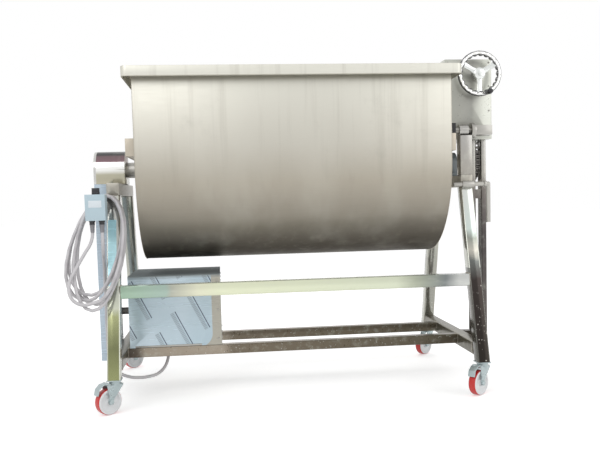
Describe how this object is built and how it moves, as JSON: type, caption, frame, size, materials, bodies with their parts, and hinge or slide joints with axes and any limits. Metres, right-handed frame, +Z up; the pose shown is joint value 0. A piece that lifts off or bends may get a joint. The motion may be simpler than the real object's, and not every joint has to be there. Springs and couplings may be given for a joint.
{
  "type": "tilting ribbon mixer",
  "caption": "Tilting dry-powder mixer: a U-shaped steel trough with a ribbon agitator, hung on trunnions in a wheeled frame, with a chain drive and a handwheel worm gear that tips it",
  "frame": {"origin": "middle of the footprint, on the floor under the casters", "axes": "+X along the trough towards the handwheel, -Y the front with the brakes, +Z up"},
  "size_m": [1.793, 0.9162, 1.4006],
  "materials": {
    "satin_steel": "satin",
    "polished_steel": "polished",
    "filmed_steel": "steel sheet under a pale blue protective film",
    "plain_steel": "machined",
    "chain_steel": "oiled",
    "bronze": "machined",
    "grey_paint": "satin",
    "chrome_plate": "bright",
    "zinc_plate": "zinc plated",
    "red_tread": "red tread on a pale core",
    "black_plastic": "moulded",
    "black_rubber": "moulded",
    "black_paint": "satin",
    "box_plastic": "moulded",
    "cable_sheath": "extruded sheath",
    "copper": "bare copper"
  },
  "bodies": {
    "frame": {"motor_base": "plain_steel", "drive_motor": "grey_paint", "drive_gearbox": "grey_paint", "drive_chain": "chain_steel", "guard_hood": "polished_steel", "chain_guard": "filmed_steel", "drive_box": "filmed_steel", "legs": "polished_steel", "left_beams": "satin_steel", "right_beams": "satin_steel", "upper_rail": "polished_steel", "lower_rails": "satin_steel", "gearbox_columns": "polished_steel", "front_post": "polished_steel", "left_bearing": "grey_paint", "right_bearing": "grey_paint", "gear_housing": "polished_steel", "tilt_chain": "chain_steel", "lock_bush": "polished_steel", "stop_rod": "polished_steel", "stop_bracket": "plain_steel", "caster_plates": "zinc_plate", "starter_box": "box_plastic", "cable_glands": "black_plastic", "cable_hook": "black_paint", "supply_lead": "cable_sheath", "cable_hank": "cable_sheath", "conductor_ends": "copper", "motor_lead": "cable_sheath"},
    "trough": {"trough_shell": "satin_steel", "trough_rim": "satin_steel", "left_end_bar": "satin_steel", "right_end_bar": "satin_steel", "left_trunnion": "polished_steel", "right_trunnion": "polished_steel", "stop_pad": "black_rubber", "lock_socket": "polished_steel", "tilt_sprocket": "plain_steel"},
    "agitator": {"agitator_shaft": "polished_steel", "agitator_arms": "satin_steel", "outer_ribbon": "satin_steel", "inner_ribbon": "satin_steel", "driven_sprocket": "plain_steel"},
    "output": {"output_sprocket": "plain_steel"},
    "cross_shaft": {"worm_wheel": "bronze"},
    "handwheel": {"worm_shaft": "plain_steel", "handwheel": "chrome_plate", "handwheel_knob": "black_plastic"},
    "lock": {"lock_bolt": "polished_steel"},
    "switch": {"switch_knob": "black_plastic"},
    "front_left_swivel": {"front_left_fork": "zinc_plate"},
    "front_left_roll": {"front_left_wheel": "red_tread"},
    "front_left_brake": {"front_left_pedal": "zinc_plate"},
    "front_right_swivel": {"front_right_fork": "zinc_plate"},
    "front_right_roll": {"front_right_wheel": "red_tread"},
    "front_right_brake": {"front_right_pedal": "zinc_plate"},
    "rear_left_swivel": {"rear_left_fork": "zinc_plate"},
    "rear_left_roll": {"rear_left_wheel": "red_tread"},
    "rear_right_swivel": {"rear_right_fork": "zinc_plate"},
    "rear_right_roll": {"rear_right_wheel": "red_tread"}
  },
  "joints": [
    {"name": "trough_tilt", "type": "hinge", "parent": "frame", "child": "trough", "pos_m": [-0.0367, 0.01545, 0.94], "axis": [1, 0, 0], "range_deg": [0, 90], "deforming": ["tilt_chain"]},
    {"name": "agitator_spin", "type": "hinge", "parent": "frame", "child": "agitator", "pos_m": [-0.0367, 0.01545, 0.94], "axis": [1, 0, 0], "continuous": true, "deforming": ["drive_chain"]},
    {"name": "output_spin", "type": "hinge", "parent": "frame", "child": "output", "pos_m": [-0.82235, 0.01545, 0.335], "axis": [1, 0, 0], "continuous": true},
    {"name": "cross_shaft_turn", "type": "hinge", "parent": "frame", "child": "cross_shaft", "pos_m": [0.7627, 0.01545, 1.2096], "axis": [1, 0, 0], "range_deg": [0, 180]},
    {"name": "handwheel_turn", "type": "hinge", "parent": "frame", "child": "handwheel", "pos_m": [0.7627, -0.17455, 1.3046], "axis": [0, 1, 0], "range_deg": [0, 5400]},
    {"name": "lock_slide", "type": "slide", "parent": "frame", "child": "lock", "axis": [-1, 0, 0], "range_m": [0, 0.04]},
    {"name": "switch_turn", "type": "hinge", "parent": "frame", "child": "switch", "pos_m": [-0.8017, -0.38458, 0.84], "axis": [0, 0, 1], "range_deg": [0, 90]},
    {"name": "front_left_swivel_turn", "type": "hinge", "parent": "frame", "child": "front_left_swivel", "pos_m": [-0.7607, -0.39455, 0.12], "axis": [0, 0, 1], "continuous": true},
    {"name": "front_left_wheel_spin", "type": "hinge", "parent": "front_left_swivel", "child": "front_left_roll", "pos_m": [-0.78401, -0.41343, 0.05], "axis": [0.6293, -0.7771, 0], "continuous": true},
    {"name": "front_left_brake_press", "type": "hinge", "parent": "front_left_swivel", "child": "front_left_brake", "pos_m": [-0.78868, -0.41721, 0.117], "axis": [0.6293, -0.7771, 0], "range_deg": [0, 8]},
    {"name": "front_right_swivel_turn", "type": "hinge", "parent": "frame", "child": "front_right_swivel", "pos_m": [0.6873, -0.39455, 0.12], "axis": [0, 0, 1], "continuous": true},
    {"name": "front_right_wheel_spin", "type": "hinge", "parent": "front_right_swivel", "child": "front_right_roll", "pos_m": [0.66399, -0.41343, 0.05], "axis": [0.6293, -0.7771, 0], "continuous": true},
    {"name": "front_right_brake_press", "type": "hinge", "parent": "front_right_swivel", "child": "front_right_brake", "pos_m": [0.65932, -0.41721, 0.117], "axis": [0.6293, -0.7771, 0], "range_deg": [0, 8]},
    {"name": "rear_left_swivel_turn", "type": "hinge", "parent": "frame", "child": "rear_left_swivel", "pos_m": [-0.7607, 0.42545, 0.12], "axis": [0, 0, 1], "continuous": true},
    {"name": "rear_left_wheel_spin", "type": "hinge", "parent": "rear_left_swivel", "child": "rear_left_roll", "pos_m": [-0.78401, 0.40657, 0.05], "axis": [0.6293, -0.7771, 0], "continuous": true},
    {"name": "rear_right_swivel_turn", "type": "hinge", "parent": "frame", "child": "rear_right_swivel", "pos_m": [0.6873, 0.42545, 0.12], "axis": [0, 0, 1], "continuous": true},
    {"name": "rear_right_wheel_spin", "type": "hinge", "parent": "rear_right_swivel", "child": "rear_right_roll", "pos_m": [0.66399, 0.40657, 0.05], "axis": [0.6293, -0.7771, 0], "continuous": true}
  ],
  "couplings": [
    {"joint": "output_spin", "follows": "agitator_spin", "ratio": 2},
    {"joint": "cross_shaft_turn", "follows": "trough_tilt", "ratio": 2},
    {"joint": "handwheel_turn", "follows": "trough_tilt", "ratio": 60}
  ]
}
